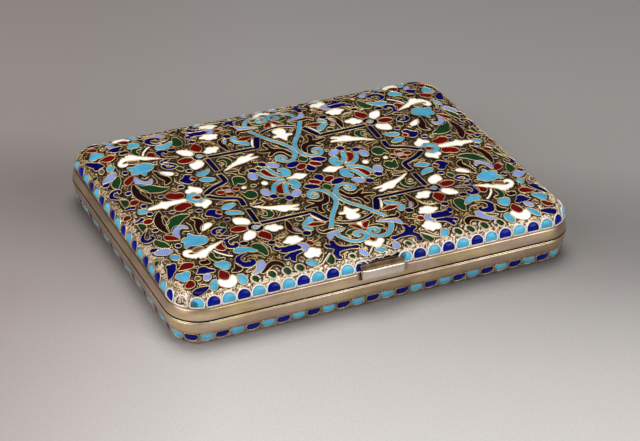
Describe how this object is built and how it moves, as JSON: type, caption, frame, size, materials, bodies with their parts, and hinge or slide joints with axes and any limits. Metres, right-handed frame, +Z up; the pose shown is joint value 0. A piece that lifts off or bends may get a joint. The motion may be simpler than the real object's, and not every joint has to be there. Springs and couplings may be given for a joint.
{
  "type": "cigarette case",
  "caption": "Flat hinged case with domed enamelled faces, bead borders, plain bowed bands, a full-length knuckled hinge and a sprung push-piece catch.",
  "frame": {"origin": "on the surface that the case lies on, under the middle of its outer box", "axes": "+X along the case, -Y towards the push-piece, +Y towards the hinge, +Z up through the lid"},
  "size_m": [0.1102, 0.0866, 0.0161],
  "materials": {
    "silver_gilt": "worn silver gilt, warm grey-gold, softly polished, with fine scratches",
    "gilt_inside": "brighter gilt of the inside, polished",
    "gilt_wire": "bright rubbed gilt of wires and rim",
    "enamel": "opaque glossy enamels in turquoise, cobalt, lavender, white, green, red and maroon between gilt wires over a stippled gilt ground",
    "bead_enamel": "opaque glossy enamel beads, cobalt and turquoise in turn, each in a gilt wire",
    "spring_steel": "brushed spring steel",
    "elastic": "woven elastic ribbon, old gold"
  },
  "bodies": {
    "base": {"base_shell": "silver_gilt", "base_enamel_field": "enamel", "base_bead_border": "bead_enamel", "base_edge_wire": "gilt_wire", "base_rim": "gilt_wire", "base_lip": "gilt_inside", "base_hinge_bearer": "silver_gilt", "catch_plate": "gilt_inside", "base_strap": "elastic", "base_strap_clip_left": "gilt_inside", "base_strap_clip_right": "gilt_inside", "base_knuckle_1": "silver_gilt", "base_knuckle_2": "silver_gilt", "base_knuckle_3": "silver_gilt", "base_knuckle_4": "silver_gilt", "hinge_pin": "spring_steel", "pin_plug_left": "silver_gilt", "pin_plug_right": "silver_gilt"},
    "lid": {"lid_shell": "silver_gilt", "lid_enamel_field": "enamel", "lid_bead_border": "bead_enamel", "lid_edge_wire": "gilt_wire", "lid_hinge_bearer": "silver_gilt", "spring_keeper_left": "gilt_inside", "spring_keeper_right": "gilt_inside", "lid_strap": "elastic", "lid_strap_clip_left": "gilt_inside", "lid_strap_clip_right": "gilt_inside", "lid_knuckle_1": "silver_gilt", "lid_knuckle_2": "silver_gilt", "lid_knuckle_3": "silver_gilt"},
    "push": {"push_piece": "silver_gilt", "catch_spring": "spring_steel"}
  },
  "joints": [
    {"name": "lid_hinge", "type": "hinge", "parent": "base", "child": "lid", "pos_m": [0, 0.04208, 0.0079], "axis": [-1, 0, 0], "range_deg": [0, 165]},
    {"name": "push_slide", "type": "slide", "parent": "lid", "child": "push", "axis": [0, 1, 0], "range_m": [0, 0.0006], "stiffness_N_per_m": 500, "springref_m": -0.001}
  ]
}
